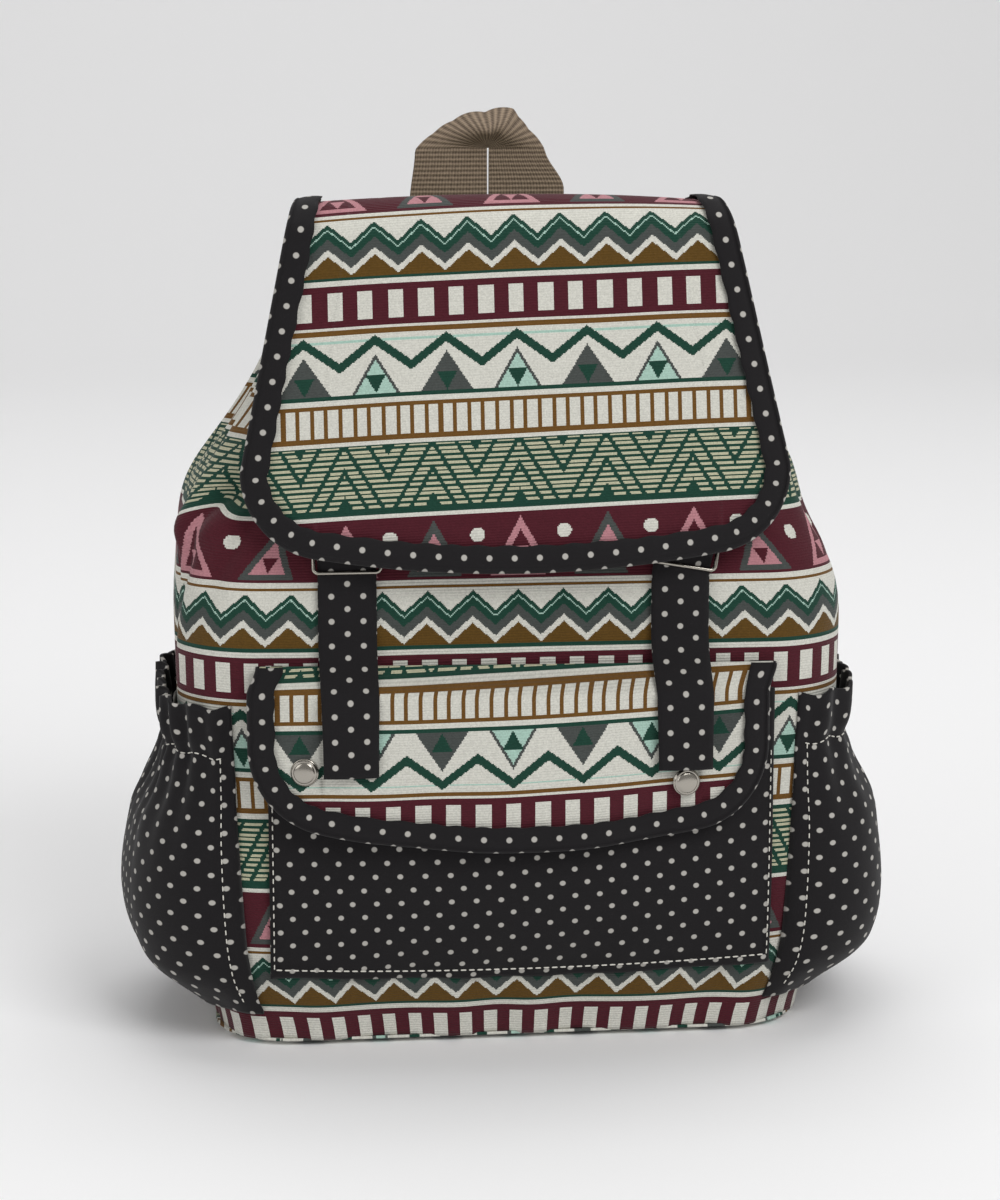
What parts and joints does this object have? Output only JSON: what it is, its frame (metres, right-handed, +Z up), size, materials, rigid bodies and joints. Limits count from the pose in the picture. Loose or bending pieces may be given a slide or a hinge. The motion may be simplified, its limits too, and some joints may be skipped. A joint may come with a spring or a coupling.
{
  "type": "backpack",
  "caption": "Small soft backpack with a bound top flap on strap rings, a snapped front pocket, gathered side pockets, a webbing grab handle and padded shoulder straps.",
  "frame": {"origin": "middle of the base panel's underside", "axes": "+Z up to the handle, -Y out of the front pocket, +X to the right seen from the front"},
  "size_m": [0.3374, 0.2187, 0.3864],
  "materials": {
    "jacquard": "woven in geometric bands of maroon, cream, green and brown",
    "dotted_cotton": "plain weave with small pale dots",
    "nickel_plate": "bright nickel plate",
    "ribbed_webbing": "ribbed cotton webbing",
    "elastic": "woven elastic",
    "nylon_plastic": "moulded, fine satin"
  },
  "bodies": {
    "bag": {"base_panel": "jacquard", "front_panel": "jacquard", "left_side_panel": "jacquard", "right_side_panel": "jacquard", "back_panel": "jacquard", "mouth_hem": "jacquard", "flap_panel": "jacquard", "pocket_flap": "jacquard", "flap_binding": "dotted_cotton", "front_pocket": "dotted_cotton", "pocket_flap_binding": "dotted_cotton", "left_side_pocket": "dotted_cotton", "right_side_pocket": "dotted_cotton", "flap_strap_left": "dotted_cotton", "flap_strap_right": "dotted_cotton", "ring_tab_left": "dotted_cotton", "ring_tab_right": "dotted_cotton", "strap_yoke": "dotted_cotton", "webbing_anchor_left": "dotted_cotton", "webbing_anchor_right": "dotted_cotton", "shoulder_strap_left": "dotted_cotton", "shoulder_strap_right": "dotted_cotton", "mouth_eyelet_left": "nickel_plate", "mouth_eyelet_right": "nickel_plate", "snap_cap_left": "nickel_plate", "snap_cap_right": "nickel_plate", "snap_stud_left": "nickel_plate", "snap_stud_right": "nickel_plate", "grab_handle": "ribbed_webbing", "adjuster_loop_left": "ribbed_webbing", "adjuster_loop_right": "ribbed_webbing", "strap_webbing_left": "ribbed_webbing", "strap_webbing_right": "ribbed_webbing", "left_pocket_elastic": "elastic", "right_pocket_elastic": "elastic"},
    "ring_left": {"strap_ring_left": "nickel_plate"},
    "ring_right": {"strap_ring_right": "nickel_plate"},
    "adjuster_left": {"strap_adjuster_left": "nylon_plastic"},
    "adjuster_right": {"strap_adjuster_right": "nylon_plastic"}
  },
  "joints": [
    {"name": "ring_left_swing", "type": "hinge", "parent": "bag", "child": "ring_left", "pos_m": [-0.07, -0.07008, 0.2195], "axis": [-1, 0, 0], "range_deg": [0, 14]},
    {"name": "ring_right_swing", "type": "hinge", "parent": "bag", "child": "ring_right", "pos_m": [0.07, -0.07008, 0.2195], "axis": [-0.9848, 0, 0.1736], "range_deg": [0, 14]},
    {"name": "adjuster_left_tilt", "type": "hinge", "parent": "bag", "child": "adjuster_left", "pos_m": [-0.09, 0.102, 0.112], "axis": [-0.9859, 0.0647, 0.1545], "range_deg": [0, 12]},
    {"name": "adjuster_right_tilt", "type": "hinge", "parent": "bag", "child": "adjuster_right", "pos_m": [0.09, 0.102, 0.112], "axis": [-0.9859, -0.0647, -0.1545], "range_deg": [0, 12]}
  ]
}
